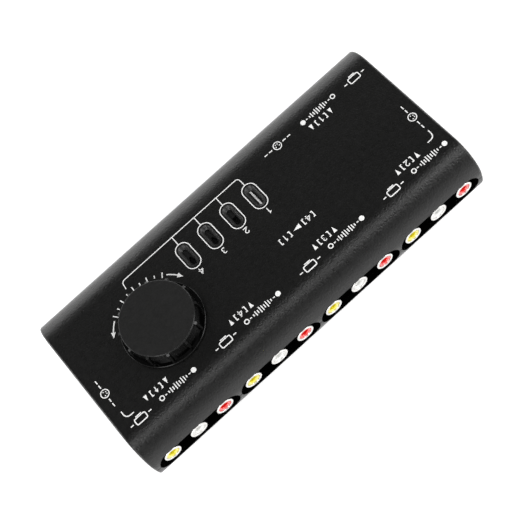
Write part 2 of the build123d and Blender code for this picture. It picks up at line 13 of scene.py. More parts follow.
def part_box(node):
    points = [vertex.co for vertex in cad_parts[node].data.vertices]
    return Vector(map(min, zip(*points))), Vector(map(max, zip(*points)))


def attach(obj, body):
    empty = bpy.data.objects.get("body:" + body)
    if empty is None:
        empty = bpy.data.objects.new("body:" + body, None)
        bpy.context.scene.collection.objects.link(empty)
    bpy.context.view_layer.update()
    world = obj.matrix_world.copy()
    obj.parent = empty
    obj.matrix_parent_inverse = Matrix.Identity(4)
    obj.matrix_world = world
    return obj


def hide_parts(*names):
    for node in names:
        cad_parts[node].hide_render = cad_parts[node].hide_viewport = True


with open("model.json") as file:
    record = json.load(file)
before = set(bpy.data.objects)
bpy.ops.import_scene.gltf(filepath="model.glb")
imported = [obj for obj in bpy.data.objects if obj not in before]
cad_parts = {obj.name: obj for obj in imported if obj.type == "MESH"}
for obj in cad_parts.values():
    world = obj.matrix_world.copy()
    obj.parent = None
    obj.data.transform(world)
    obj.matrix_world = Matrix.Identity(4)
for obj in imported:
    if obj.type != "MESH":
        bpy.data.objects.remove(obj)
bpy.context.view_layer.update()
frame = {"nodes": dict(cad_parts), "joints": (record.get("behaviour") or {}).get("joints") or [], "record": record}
nodes = frame["nodes"]
record = frame["record"]

MM = 0.001

# Places that the frame gives
joints = {joint["name"]: joint for joint in frame["joints"]}
mounts = {mount["name"]: mount for mount in record["mounts"]}
slot_of = {part["node"]: part["material_slot"] for part in record["subparts"]}
KNOB_X, KNOB_Y, TOP_Z = joints["knob_turn"]["pos_m"]
bar_low, bar_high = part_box("indicator_bar")
WINDOW_X = (bar_low.x + bar_high.x) / 2
WINDOW_Y = (bar_low.y + bar_high.y) / 2
WINDOW_COUNT = 4
WINDOW_PITCH = joints["indicator_slide"]["range_m"][1] / (WINDOW_COUNT - 1)
lower_low, lower_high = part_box("lower_case")
HALF_LENGTH, HALF_WIDTH = lower_high.x, lower_high.y
KNOB_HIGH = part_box("selector_knob")[1].z
SHOULDER_RADIUS = 0.0146


# Node materials. Noise scales are counts per metre.
EDGE_SOFT = 0.05 * MM
# A mix node has sockets of their own for plain values and for colours
MIX_VALUES, MIX_VALUE_OUT = (2, 3), 0
MIX_COLOURS, MIX_COLOUR_OUT = (6, 7), 2


class Look:
    """A material whose nodes are added one call at a time."""

    def __init__(self, name):
        self.material = bpy.data.materials.new(name)
        self.material.use_nodes = True
        self.tree = self.material.node_tree
        self.shader = self.tree.nodes["Principled BSDF"]
        self.place = self.node("ShaderNodeTexCoord").outputs["Object"]

    def node(self, kind, **settings):
        made = self.tree.nodes.new(kind)
        for key, value in settings.items():
            setattr(made, key, value)
        return made

    def put(self, socket, value):
        """Links a socket, or sets a plain value."""
        if isinstance(value, bpy.types.NodeSocket):
            self.tree.links.new(value, socket)
        else:
            socket.default_value = value

    def set(self, **inputs):
        """Plain values on the surface shader's own sockets."""
        for key, value in inputs.items():
            self.shader.inputs[key.replace("_", " ")].default_value = value

    def stretched(self, scale):
        """The object's own coordinates, scaled by axis."""
        made = self.node("ShaderNodeMapping")
        self.put(made.inputs["Vector"], self.place)
        made.inputs["Scale"].default_value = scale
        return made.outputs["Vector"]

    def noise(self, scale, detail=2.0, roughness=0.5, place=None):
        made = self.node("ShaderNodeTexNoise")
        self.put(made.inputs["Vector"], place or self.place)
        made.inputs["Scale"].default_value = scale
        made.inputs["Detail"].default_value = detail
        made.inputs["Roughness"].default_value = roughness
        return made.outputs["Fac"]

    def cells(self, scale):
        made = self.node("ShaderNodeTexVoronoi", feature="SMOOTH_F1")
        self.put(made.inputs["Vector"], self.place)
        made.inputs["Scale"].default_value = scale
        return made.outputs["Distance"]

    def span(self, factor, low, high, start=0.3, end=0.7):
        """Maps a factor, by default the middle of a noise, to a range of plain values."""
        made = self.node("ShaderNodeMapRange")
        self.put(made.inputs["Value"], factor)
        made.inputs["From Min"].default_value = start
        made.inputs["From Max"].default_value = end
        made.inputs["To Min"].default_value = low
        made.inputs["To Max"].default_value = high
        return made.outputs["Result"]

    def blend(self, factor, first, second):
        """A colour between two others, each a colour or another blend."""
        made = self.node("ShaderNodeMix", data_type="RGBA")
        self.put(made.inputs["Factor"], factor)
        for socket, colour in zip(MIX_COLOURS, (first, second)):
            linked = isinstance(colour, bpy.types.NodeSocket)
            self.put(made.inputs[socket], colour if linked else (*colour, 1.0))
        return made.outputs[MIX_COLOUR_OUT]

    def between(self, factor, first, second):
        """A plain value between two others."""
        made = self.node("ShaderNodeMix")
        self.put(made.inputs["Factor"], factor)
        for socket, value in zip(MIX_VALUES, (first, second)):
            self.put(made.inputs[socket], value)
        return made.outputs[MIX_VALUE_OUT]

    def times(self, first, second):
        """The product of two plain values."""
        made = self.node("ShaderNodeMath", operation="MULTIPLY")
        self.put(made.inputs[0], first)
        self.put(made.inputs[1], second)
        return made.outputs[0]

    def facing(self, axis):
        """How far the surface faces along an axis of the part's frame."""
        split = self.node("ShaderNodeSeparateXYZ")
        self.put(split.inputs[0], self.node("ShaderNodeTexCoord").outputs["Normal"])
        return split.outputs[axis]

    def along(self, axis):
        """Where the surface lies along an axis of the part's frame."""
        split = self.node("ShaderNodeSeparateXYZ")
        self.put(split.inputs[0], self.place)
        return split.outputs[axis]

    def within(self, box):
        """One inside a box given as a low and a high point, nought outside it."""
        inside = 1.0
        for axis, low, high in zip("XYZ", *box):
            value = self.along(axis)
            inside = self.times(inside, self.span(value, 0.0, 1.0, start=low, end=low + EDGE_SOFT))
            inside = self.times(inside, self.span(value, 1.0, 0.0, start=high - EDGE_SOFT, end=high))
        return inside

    def bump(self, height, depth, strength, over=None):
        """Fine relief in the surface normal, on top of another relief if given."""
        made = self.node("ShaderNodeBump")
        self.put(made.inputs["Height"], height)
        made.inputs["Distance"].default_value = depth
        made.inputs["Strength"].default_value = strength
        if over is not None:
            self.put(made.inputs["Normal"], over)
        return made.outputs["Normal"]

    def finish(self, colour, roughness, normal):
        self.put(self.shader.inputs["Base Color"], colour)
        self.put(self.shader.inputs["Roughness"], roughness)
        self.put(self.shader.inputs["Normal"], normal)
        return self.material


GRAIN, GRAIN_STRENGTH = 1250.0, 0.8
PIT_DETAIL, PIT_ROUGH, PIT_SHARE, PIT_TINT = 1.0, 0.4, 0.35, 1.5
FINE_GRAIN, FINE_SHARE = 3.4, 0.2
PATCH_GRAIN, PATCH_SHARE = 0.35, 0.4
FLOW_SCALE, FLOW_DETAIL = 55.0, 3.0
WAVE_SCALE, WAVE_DEPTH, WAVE_STRENGTH = 260.0, 0.5, 0.25
UP_START, UP_END, LEVEL_SOFT = 0.8, 0.95, 0.1 * MM
ACROSS_START, ACROSS_END = 0.3, 0.6
NO_RELIEF, POLISHED = 0.5, 0.1
KNOB_SHINE, KNOB_GRAIN_DROP, KNOB_FOOT_DROP, FOOT_FADE = 0.3, 0.5 * MM, 5.2 * MM, 0.8 * MM


def moulded(name, dark, light, rough, depth, sides=None, painted_light_rims=None, shaded_slots=None):
    """Textured moulding: fine grain, faint flow marks and a slightly uneven gloss.

    Sides are for the knob: a wall's roughness, its colour and its foot's colour, a painted shade that darkens the
    foot. The grain then covers only the top, the wall is smooth and its foot polished.
    Painted light rims are a box and a colour: the plastic is painted paler inside that box, a painted light on the
    window bevels.
    Shaded slots are a box and a colour: what doesn't face along Y inside it is smooth, polished and of that
    colour, a painted shade.
    """
    look = Look(name)
    flow = look.noise(FLOW_SCALE, detail=FLOW_DETAIL)
    coarse = look.noise(GRAIN, detail=PIT_DETAIL, roughness=PIT_ROUGH)
    pits = look.between(FINE_SHARE, coarse, look.noise(GRAIN * FINE_GRAIN, detail=PIT_DETAIL))
    colour = look.blend(look.span(flow, 0.0, 1.0), dark, light)
    colour = look.blend(look.span(pits, 0.0, PIT_SHARE), colour, tuple(PIT_TINT * c for c in light))
    uneven = look.between(PATCH_SHARE, look.noise(GRAIN * PATCH_GRAIN), pits)
    gloss = look.span(uneven, *rough)
    height = pits
    if sides:
        wall_rough, wall_colour, foot_painted_shade = sides
        level, foot_level = KNOB_HIGH - KNOB_GRAIN_DROP, KNOB_HIGH - KNOB_FOOT_DROP
        look.set(Specular_IOR_Level=KNOB_SHINE)
        up = look.span(look.facing("Z"), 0.0, 1.0, start=UP_START, end=UP_END)
        up = look.times(up, look.span(look.along("Z"), 0.0, 1.0, start=level - LEVEL_SOFT, end=level))
        fade_start, fade_end = foot_level - FOOT_FADE, foot_level + FOOT_FADE
        foot = look.span(look.along("Z"), 1.0, 0.0, start=fade_start, end=fade_end)
        wall_gloss = look.between(foot, look.span(uneven, *wall_rough), POLISHED)
        gloss = look.between(up, wall_gloss, gloss)
        height = look.between(up, NO_RELIEF, pits)
        # painted shade: the knob's foot is painted near black
        colour = look.blend(up, look.blend(foot, wall_colour, foot_painted_shade), colour)
    # painted light: the window bevels are painted paler than the rest of the case
    if painted_light_rims:
        box, painted_light = painted_light_rims
        colour = look.blend(look.within(box), colour, painted_light)
    if shaded_slots:
        # painted shade: inside the socket slots the walls and what lies behind them are painted near black
        box, painted_shade = shaded_slots
        along_y = look.node("ShaderNodeMath", operation="ABSOLUTE")
        look.put(along_y.inputs[0], look.facing("Y"))
        inside = look.within(box)
        across = look.span(along_y.outputs[0], 1.0, 0.0, start=ACROSS_START, end=ACROSS_END)
        slot_shade_mask = look.times(inside, across)
        colour = look.blend(slot_shade_mask, colour, painted_shade)
        gloss = look.between(slot_shade_mask, gloss, POLISHED)
        height = look.between(slot_shade_mask, height, NO_RELIEF)
    relief = look.bump(look.noise(WAVE_SCALE), depth * WAVE_DEPTH, WAVE_STRENGTH)
    relief = look.bump(height, depth, GRAIN_STRENGTH, over=relief)
    return look.finish(colour, gloss, relief)


COAT_ROUGH = 0.22
DRIFT_SCALE, DRIFT_DETAIL, GLOSS_SCALE = 420.0, 3.0, 1500.0
PEEL_SCALE, PEEL_DEPTH, PEEL_STRENGTH = 5200.0, 0.000006, 0.4


def smooth_plastic(name, dark, light, rough, polish=0.0):
    """Polished moulding with a faint orange peel and colour drift."""
    look = Look(name)
    look.set(Coat_Weight=polish, Coat_Roughness=COAT_ROUGH)
    drift = look.noise(DRIFT_SCALE, detail=DRIFT_DETAIL)
    colour = look.blend(look.span(drift, 0.0, 1.0), dark, light)
    gloss = look.span(look.noise(GLOSS_SCALE), *rough)
    relief = look.bump(look.noise(PEEL_SCALE), PEEL_DEPTH, PEEL_STRENGTH)
    return look.finish(colour, gloss, relief)


STREAK_DETAIL, CLOUD_SCALE, CLOUD_DETAIL = 4.0, 320.0, 3.0
LINE_DEPTH, LINE_STRENGTH = 0.000006, 0.35


def turned_metal(name, dark, light, rough, lines):
    """Plated metal with fine lines from turning or drawing, packed along the axis that is scaled most."""
    look = Look(name)
    look.set(Metallic=1.0)
    streaks = look.noise(1.0, detail=STREAK_DETAIL, place=look.stretched(lines))
    cloud = look.noise(CLOUD_SCALE, detail=CLOUD_DETAIL)
    colour = look.blend(look.span(cloud, 0.0, 1.0), dark, light)
    gloss = look.span(streaks, *rough)
    relief = look.bump(streaks, LINE_DEPTH, LINE_STRENGTH)
    return look.finish(colour, gloss, relief)


RUBBER_DARK, RUBBER_DUSTY, RUBBER_ROUGH = (0.012, 0.012, 0.012), (0.03, 0.029, 0.027), (0.72, 0.9)
DUST_SCALE, DUST_DETAIL, DUST_ROUGH, RUBBER_GLOSS_SCALE = 700.0, 4.0, 0.7, 1800.0
CELL_SCALE, CELL_DEPTH, CELL_STRENGTH = 2400.0, 0.00004, 0.5


def soft_rubber(name):
    """Dull rubber with a little dust in its fine cells."""
    look = Look(name)
    dust = look.noise(DUST_SCALE, detail=DUST_DETAIL, roughness=DUST_ROUGH)
    colour = look.blend(look.span(dust, 0.0, 1.0), RUBBER_DARK, RUBBER_DUSTY)
    gloss = look.span(look.noise(RUBBER_GLOSS_SCALE), *RUBBER_ROUGH)
    relief = look.bump(look.cells(CELL_SCALE), CELL_DEPTH, CELL_STRENGTH)
    return look.finish(colour, gloss, relief)


WEAVE, WEAVE_GAP = (900.0, 900.0, 900.0), 0.06
TRACKS, TRACK_GAP, TRACK_OFFSET = (55.0, 130.0, 55.0), 0.035, 0.35
TRACK_DEPTH, TRACK_STRENGTH = 0.00003, 0.5
MASK_SCALE, MASK_DARK, MASK_LIGHT = 300.0, (0.0022, 0.0024, 0.0022), (0.0035, 0.0038, 0.0035)
TRACK_COLOUR, BOARD_ROUGH = (0.006, 0.0075, 0.006), (0.3, 0.45)


def circuit_laminate(name):
    """Solder-masked laminate with a glass weave, and tracks that lie just under the mask."""
    look = Look(name)
    weave = look.node("ShaderNodeTexBrick")
    look.put(weave.inputs["Vector"], look.stretched(WEAVE))
    weave.inputs["Mortar Size"].default_value = WEAVE_GAP
    tracks = look.node("ShaderNodeTexBrick", offset=TRACK_OFFSET)
    look.put(tracks.inputs["Vector"], look.stretched(TRACKS))
    tracks.inputs["Mortar Size"].default_value = TRACK_GAP
    mask = look.blend(look.span(look.noise(MASK_SCALE), 0.0, 1.0), MASK_DARK, MASK_LIGHT)
    colour = look.blend(tracks.outputs["Fac"], mask, TRACK_COLOUR)
    gloss = look.span(weave.outputs["Fac"], *BOARD_ROUGH, start=0.0, end=1.0)
    relief = look.bump(tracks.outputs["Fac"], TRACK_DEPTH, TRACK_STRENGTH)
    return look.finish(colour, gloss, relief)


INK_THIN, INK_FULL, INK_ROUGH = (0.74, 0.74, 0.73), (0.93, 0.93, 0.92), (0.45, 0.6)
COVER_SCALE, COVER_DETAIL, COVER_START, COVER_END = 1900.0, 3.0, 0.25, 0.4
INK_GLOSS_SCALE, INK_DEPTH, INK_STRENGTH = 900.0, 0.000008, 0.3


def printed_ink(name):
    """Screen-printed white: a little uneven in cover, with pin holes."""
    look = Look(name)
    cover = look.noise(COVER_SCALE, detail=COVER_DETAIL)
    share = look.span(cover, 0.0, 1.0, start=COVER_START, end=COVER_END)
    colour = look.blend(share, INK_THIN, INK_FULL)
    gloss = look.span(look.noise(INK_GLOSS_SCALE), *INK_ROUGH)
    relief = look.bump(cover, INK_DEPTH, INK_STRENGTH)
    return look.finish(colour, gloss, relief)


# Boxes in which the case's plastic changes: painted light round the windows, and painted shade inside the socket
# slots
RIM_HALF_X, RIM_HALF_Y, RIM_DEPTH = 3.4 * MM, 6.9 * MM, 1.5 * MM
SLOT_LOW, SLOT_HIGH, SLOT_IN = 10.8 * MM, 21.7 * MM, 2.5 * MM
LAST_WINDOW_X = WINDOW_X + (WINDOW_COUNT - 1) * WINDOW_PITCH
window_rims = (
    (WINDOW_X - RIM_HALF_X, WINDOW_Y - RIM_HALF_Y, TOP_Z - RIM_DEPTH),
    (LAST_WINDOW_X + RIM_HALF_X, WINDOW_Y + RIM_HALF_Y, TOP_Z - EDGE_SOFT),
)
socket_slots = (
    (lower_low.x + SLOT_IN, lower_low.y, SLOT_LOW),
    (HALF_LENGTH - SLOT_IN, HALF_WIDTH, SLOT_HIGH),
)
# Painted light on the window bevels, and painted shade near black inside the socket slots
RIM_PAINTED_LIGHT, SLOT_PAINTED_SHADE = (0.026, 0.026, 0.0255), (0.0006, 0.0006, 0.0006)
CASE_DARK, CASE_LIGHT, CASE_ROUGH = (0.0030, 0.0030, 0.0029), (0.0050, 0.0050, 0.0048), (0.24, 0.36)
KNOB_DARK, KNOB_LIGHT, KNOB_ROUGH = (0.0080, 0.0080, 0.0078), (0.0100, 0.0100, 0.0098), (0.38, 0.52)
# The knob's wall roughness, wall colour and foot colour; the foot's colour is a painted shade
KNOB_SIDES = ((0.16, 0.24), (0.0045, 0.0045, 0.0044), (0.0004, 0.0004, 0.0004))
CASE_GRAIN_DEPTH, KNOB_GRAIN_DEPTH = 0.00018, 0.0002

# Dark colour, light colour, range of roughness and weight of the clear coat
PLASTICS = {
    "slider_plastic": ((0.003, 0.003, 0.003), (0.005, 0.005, 0.005), (0.5, 0.6), 0.0),
    "indicator_white": ((0.88, 0.88, 0.87), (0.94, 0.94, 0.93), (0.34, 0.46), 0.0),
    "switch_plastic": ((0.020, 0.020, 0.022), (0.030, 0.030, 0.032), (0.32, 0.45), 0.0),
    "socket_black": ((0.0018, 0.0018, 0.0018), (0.003, 0.003, 0.003), (0.3, 0.4), 0.0),
    "core_yellow": ((0.80, 0.69, 0.025), (0.88, 0.77, 0.04), (0.22, 0.32), 1.0),
    "core_white": ((0.80, 0.80, 0.78), (0.87, 0.87, 0.85), (0.32, 0.42), 0.2),
    "core_red": ((0.78, 0.012, 0.009), (0.86, 0.018, 0.014), (0.22, 0.32), 1.0),
}

# Dark colour, light colour, range of roughness and scale of the lines by axis
ROUND_X = (14000.0, 90.0, 90.0)
ROUND_Y = (90.0, 14000.0, 90.0)
ROUND_Z = (90.0, 90.0, 14000.0)
LENGTHWISE = (90.0, 9000.0, 9000.0)
NICKEL = ((0.68, 0.67, 0.65), (0.82, 0.81, 0.79), (0.14, 0.28))
METALS = {
    "screw_steel": ((0.30, 0.30, 0.31), (0.45, 0.45, 0.46), (0.25, 0.42), ROUND_Z),
    "shaft_alloy": ((0.62, 0.62, 0.63), (0.76, 0.76, 0.77), (0.2, 0.36), ROUND_Z),
    "spring_steel": ((0.42, 0.43, 0.45), (0.58, 0.59, 0.61), (0.2, 0.34), LENGTHWISE),
    "contact_brass": ((0.60, 0.42, 0.16), (0.76, 0.56, 0.25), (0.2, 0.36), ROUND_Y),
    "socket_nickel": (*NICKEL, ROUND_Y),
}

looks = {
    "case_plastic": moulded(
        "case_plastic", CASE_DARK, CASE_LIGHT, CASE_ROUGH, CASE_GRAIN_DEPTH,
        painted_light_rims=(window_rims, RIM_PAINTED_LIGHT), shaded_slots=(socket_slots, SLOT_PAINTED_SHADE),
    ),
    "knob_plastic": moulded(
        "knob_plastic", KNOB_DARK, KNOB_LIGHT, KNOB_ROUGH, KNOB_GRAIN_DEPTH, sides=KNOB_SIDES,
    ),
    "foot_rubber": soft_rubber("foot_rubber"),
    "board_laminate": circuit_laminate("board_laminate"),
}
looks.update({name: smooth_plastic(name, *values) for name, values in PLASTICS.items()})
looks.update({name: turned_metal(name, *values) for name, values in METALS.items()})
end_nickel = turned_metal("socket_nickel_end", *NICKEL, ROUND_X)
ink = printed_ink("printed_ink")

END_SHIELDS = ("svideo_shield_in2", "svideo_shield_out")
for node_name, node in nodes.items():
    look = end_nickel if node_name in END_SHIELDS else looks[slot_of[node_name]]
    if not node.material_slots:
        node.data.materials.append(look)
    for material_slot in node.material_slots:
        material_slot.material = look


# Mesh builders
def piece(name, points, faces, look, body, sharp=None):
    """A new mesh with one material that rides on a body."""
    mesh = bpy.data.meshes.new(name)
    mesh.from_pydata([tuple(p) for p in points], [], faces)
    mesh.validate()
    mesh.materials.append(look)
    made = bpy.data.objects.new(name, mesh)
    bpy.context.scene.collection.objects.link(made)
    if sharp is not None:
        mesh.shade_smooth()
        mesh.set_sharp_from_angle(angle=math.radians(sharp))
    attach(made, body)
    return made


def arc(centre, radius, start, end, steps):
    """Points of an arc in a plane, angles in degrees."""
    angles = [math.radians(start + (end - start) * i / steps) for i in range(steps + 1)]
    return [(centre[0] + radius * math.cos(a), centre[1] + radius * math.sin(a)) for a in angles]


def circle(centre, radius, steps):
    """Points of a full circle, the first one not repeated."""
    return arc(centre, radius, 0, 360, steps)[:-1]


def shifted(faces, start):
    """Faces whose points are numbered from a start."""
    return [tuple(start + i for i in face) for face in faces]


def ring_faces(rows, columns):
    """Quads of a grid that closes both ways."""
    faces = []
    for i in range(rows):
        below, above = i * columns, (i + 1) % rows * columns
        for j in range(columns):
            k = (j + 1) % columns
            faces.append((below + j, below + k, above + k, above + j))
    return faces


def turned(profile, place, columns):
    """Points and faces of a ring turned from a closed profile of (radius, depth behind the front)."""
    points = []
    for radius, depth in profile:
        for j in range(columns):
            a = 2 * math.pi * j / columns
            points.append(place @ Vector((radius * math.cos(a), radius * math.sin(a), -depth)))
    return points, ring_faces(len(profile), columns)


def socket_place(mount, front):
    """The frame of a socket: origin at its front, Z out of the case."""
    axis = Vector(mount["axis"])
    across = Vector((0, 0, 1)).cross(axis)
    turn = Matrix((across, axis.cross(across), axis)).transposed().to_4x4()
    return Matrix.Translation(Vector(mount["pos_m"]) + front * axis) @ turn


def merged(parts):
    """Several rings' points and faces as one mesh."""
    points, faces = [], []
    for part_points, part_faces in parts:
        faces += shifted(part_faces, len(points))
        points += part_points
    return points, faces


# Phono sockets: sleeves with a rolled lip, cores with a lead-in at the bore
GROUPS = {"in1": ("video", "left", "right")}
GROUPS.update({name: ("right", "left", "video") for name in ("in2", "in3", "in4", "out")})
CHANNEL_SLOT = {"video": "core_yellow", "left": "core_white", "right": "core_red"}
SLEEVE_MOUNT_DEPTH = 4.0 * MM
SOCKET_COLUMNS, CREASE = 72, 35
SLEEVE_RADIUS, SLEEVE_INNER, SLEEVE_FLANGE = 4.15 * MM, 3.75 * MM, 4.7 * MM
SLEEVE_LIP_RADIUS, SLEEVE_LIP_DEPTH = 3.05 * MM, 0.5 * MM
SLEEVE_REACH, SLEEVE_BACK = 8.5 * MM, 11.5 * MM
LIP_ROUND, LIP_STEPS, LIP_INNER_ROUND, LIP_INNER_STEPS = 0.3 * MM, 6, 0.2 * MM, 5
CORE_RADIUS, CORE_BORE, CORE_FRONT, CORE_BACK = 3.7 * MM, 1.65 * MM, 0.5 * MM, 15.5 * MM
CORE_ROUND, CORE_ROUND_END, CORE_STEPS = 0.12 * MM, -150, 4
CORE_LEAD, CORE_LEAD_DEPTH = 0.2 * MM, 0.35 * MM


def sleeve_profile():
    """Section of a sleeve, from its rolled lip back to its flange."""
    inner = SLEEVE_LIP_RADIUS + LIP_INNER_ROUND
    profile = arc((SLEEVE_RADIUS - LIP_ROUND, LIP_ROUND), LIP_ROUND, 0, -90, LIP_STEPS)
    profile += arc((inner, LIP_INNER_ROUND), LIP_INNER_ROUND, -90, -180, LIP_INNER_STEPS)
    profile += [(SLEEVE_LIP_RADIUS, SLEEVE_LIP_DEPTH), (SLEEVE_INNER, SLEEVE_LIP_DEPTH)]
    profile += [(SLEEVE_INNER, SLEEVE_BACK), (SLEEVE_FLANGE, SLEEVE_BACK), (SLEEVE_FLANGE, SLEEVE_REACH)]
    return profile + [(SLEEVE_RADIUS, SLEEVE_REACH)]


def core_profile():
    """Section of a core, with the lead-in at its bore."""
    lead = CORE_BORE + CORE_LEAD
    centre = (lead + CORE_ROUND, CORE_FRONT + CORE_ROUND)
    profile = [(CORE_RADIUS, CORE_FRONT)] + arc(centre, CORE_ROUND, -90, CORE_ROUND_END, CORE_STEPS)
    profile += [(CORE_BORE, CORE_FRONT + CORE_LEAD_DEPTH), (CORE_BORE, CORE_BACK)]
    return profile + [(CORE_RADIUS, CORE_BACK)]


for group, channels in GROUPS.items():
    places = [socket_place(mounts[f"{group}_{channel}_sleeve"], SLEEVE_MOUNT_DEPTH) for channel in channels]
    points, faces = merged([turned(sleeve_profile(), place, SOCKET_COLUMNS) for place in places])
    nickel = looks["socket_nickel"]
    sleeves = piece(f"sleeves_{group}", points, faces, nickel, "case", CREASE)
    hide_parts(f"phono_sleeves_{group}")
    for channel, place in zip(channels, places):
        points, faces = turned(core_profile(), place, SOCKET_COLUMNS)
        slot = CHANNEL_SLOT[channel]
        core = piece(f"core_{group}_{channel}", points, faces, looks[slot], "case", CREASE)
        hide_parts(f"phono_{channel}_core_{group}")


# Printed marks on the top, in millimetres
INK_THICKNESS = 0.03
STROKE, THIN_STROKE, LEAST_MITRE = 0.48, 0.4, 0.3
CIRCLE_STEPS = 28

# Centre lines of the numerals' strokes
NUMERAL_SCALE, NUMERAL_STEPS = 1.12, 12
NUMERALS = {
    "1": [[(-0.55, 0.6), (0.1, 1.1), (0.1, -1.35)]],
    "2": [
        arc((0.0, 0.44), 0.7, 165, -30, NUMERAL_STEPS) + [(-0.72, -1.0)],
        [(-0.95, -1.12), (0.92, -1.12)],
    ],
    "3": [
        arc((-0.05, 0.56), 0.58, 150, -90, NUMERAL_STEPS),
        arc((-0.05, -0.48), 0.66, 90, -150, NUMERAL_STEPS),
    ],
    "4": [
        [(0.35, 1.15), (-0.82, -0.42)],
        [(-0.98, -0.47), (0.98, -0.47)],
        [(0.4, 1.33), (0.4, -1.35)],
    ],
}


def top_height(y):
    """Height of the case's top over its flat and its two rounded shoulders, in millimetres."""
    over = abs(y) - (HALF_WIDTH - SHOULDER_RADIUS) / MM
    radius = SHOULDER_RADIUS / MM
    return TOP_Z / MM - (radius - math.sqrt(radius ** 2 - over ** 2) if over > 0 else 0.0)


class Print:
    """Flat shapes in millimetres, gathered into one thin printed piece."""

    def __init__(self):
        self.points, self.faces = [], []

    def add(self, points, faces):
        self.faces += shifted(faces, len(self.points))
        self.points += points

    def outline(self, points):
        """A filled convex shape, its points in anticlockwise order."""
        self.add(list(points), [tuple(range(len(points)))])

    def disc(self, centre, radius, steps=CIRCLE_STEPS):
        self.outline(circle(centre, radius, steps))

    def line(self, points, width=STROKE, closed=False):
        """A stroke of even width along a chain of points."""
        path = [Vector(p) for p in points]
        count = len(path)
        left, right = [], []
        for i, p in enumerate(path):
            before = path[i - 1] if closed or i else None
            after = path[(i + 1) % count] if closed or i < count - 1 else None
            pairs = ((before, p), (p, after))
            ways = [(b - a).normalized() for a, b in pairs if a is not None and b is not None]
            mean = sum(ways, Vector((0.0, 0.0))).normalized()
            side = Vector((-mean.y, mean.x)) * (width / 2 / max(LEAST_MITRE, mean.dot(ways[0])))
            left.append(tuple(p + side))
            right.append(tuple(p - side))
        spans = count if closed else count - 1
        faces = [(i, count + i, count + (i + 1) % count, (i + 1) % count) for i in range(spans)]
        self.add(left + right, faces)

    def numeral(self, digit, centre):
        """A plain numeral, centred on a point."""
        x, y = centre
        for stroke in NUMERALS[digit]:
            self.line([(x + NUMERAL_SCALE * u, y + NUMERAL_SCALE * v) for u, v in stroke], THIN_STROKE)

    def build(self, name):
        """Thickens the shapes and lays them on the case."""
        count = len(self.points)
        points = [(x * MM, y * MM, (top_height(y) + INK_THICKNESS) * MM) for x, y in self.points]
        points += [(x * MM, y * MM, top_height(y) * MM) for x, y in self.points]
        edges = {(face[i - 1], face[i]) for face in self.faces for i in range(len(face))}
        faces = list(self.faces) + [tuple(count + i for i in reversed(face)) for face in self.faces]
        faces += [(b, a, count + a, count + b) for a, b in edges if (b, a) not in edges]
        return piece(name, points, faces, ink, "case")


def rounded(corners, radius, steps=8):
    """A chain of points with its inner corners rounded."""
    chain = [corners[0]]
    for before, here, after in zip(corners, corners[1:], corners[2:]):
        b, h, a = Vector(before), Vector(here), Vector(after)
        start, end = h + radius * (b - h).normalized(), h + radius * (a - h).normalized()
        for i in range(steps + 1):
            t = i / steps
            chain.append(tuple((1 - t) ** 2 * start + 2 * t * (1 - t) * h + t ** 2 * end))
    return chain + [corners[-1]]


def capsule(centre, width, length, radius, steps=9):
    """Outline of an upright rounded slot, anticlockwise."""
    x, y = centre
    dx, dy = width / 2 - radius, length / 2 - radius
    points = arc((x + dx, y + dy), radius, 0, 90, steps)
    points += arc((x - dx, y + dy), radius, 90, 180, steps)
    points += arc((x - dx, y - dy), radius, 180, 270, steps)
    return points + arc((x + dx, y - dy), radius, 270, 360, steps)


# Window outlines, their numbers and the line that joins them to the knob
OUTLINE_WIDTH, OUTLINE_LENGTH, OUTLINE_ROUND = 6.7, 13.6, 3.3
NUMBER_OUT = 9.4
LINE_OUT, LINE_CORNER = 11.6, 1.7
HOOK_START, HOOK_END, HOOK_RISE = 1.6, 2.1, 3.9
knob_x, knob_y = KNOB_X / MM, KNOB_Y / MM
window_y = WINDOW_Y / MM
window_xs = [(WINDOW_X + i * WINDOW_PITCH) / MM for i in range(WINDOW_COUNT)]
line_y = window_y - LINE_OUT
outline_front = window_y - OUTLINE_LENGTH / 2 - THIN_STROKE / 2

marks = Print()
for number, x in enumerate(window_xs, start=1):
    outline = capsule((x, window_y), OUTLINE_WIDTH, OUTLINE_LENGTH, OUTLINE_ROUND)
    marks.line(outline, width=THIN_STROKE, closed=True)
    marks.numeral(str(number), (x, window_y + NUMBER_OUT))
for x in window_xs[1:]:
    marks.line([(x, line_y + THIN_STROKE / 2), (x, outline_front)], width=THIN_STROKE)
joining = [(window_xs[0], outline_front), (window_xs[0], line_y)]
joining += [(knob_x + HOOK_START, line_y), (knob_x + HOOK_END, line_y + HOOK_RISE)]
marks.line(rounded(joining, LINE_CORNER), width=THIN_STROKE)
marks.build("marks_windows")

# Scale and arrows round the front of the knob, angles in degrees
SCALE_RADIUS, SCALE_HALF, SCALE_STEP = 21.7, 36.0, 9.0
TICK_LONG, TICK_SHORT = 2.5, 1.3
ARROW_START, ARROW_END, ARROW_STEPS, ARROW_STROKE = 41.0, 61.0, 12, STROKE * 1.15
HEAD_ANGLE, HEAD_WIDTH = 7.0, 2.1
FRONT = 270.0


def round_knob(radius, angle):
    """A point at a radius and an angle about the knob's axis."""
    a = math.radians(angle)
    return (knob_x + radius * math.cos(a), knob_y + radius * math.sin(a))


marks = Print()
ticks = int(2 * SCALE_HALF / SCALE_STEP) + 1
for i in range(ticks):
    angle = FRONT - SCALE_HALF + i * SCALE_STEP
    half = (TICK_SHORT if i % 2 else TICK_LONG) / 2
    marks.line([round_knob(SCALE_RADIUS - half, angle), round_knob(SCALE_RADIUS + half, angle)])
for side in (-1, 1):
    neck = FRONT + side * (ARROW_END - HEAD_ANGLE)
    shaft = arc((knob_x, knob_y), SCALE_RADIUS, FRONT + side * ARROW_START, neck, ARROW_STEPS)
    marks.line(shaft, width=ARROW_STROKE)
    head = [round_knob(SCALE_RADIUS + end * HEAD_WIDTH / 2, neck) for end in (-1, 1)]
    head.append(round_knob(SCALE_RADIUS, FRONT + side * ARROW_END))
    marks.outline(head if side > 0 else head[::-1])
marks.build("marks_selector")

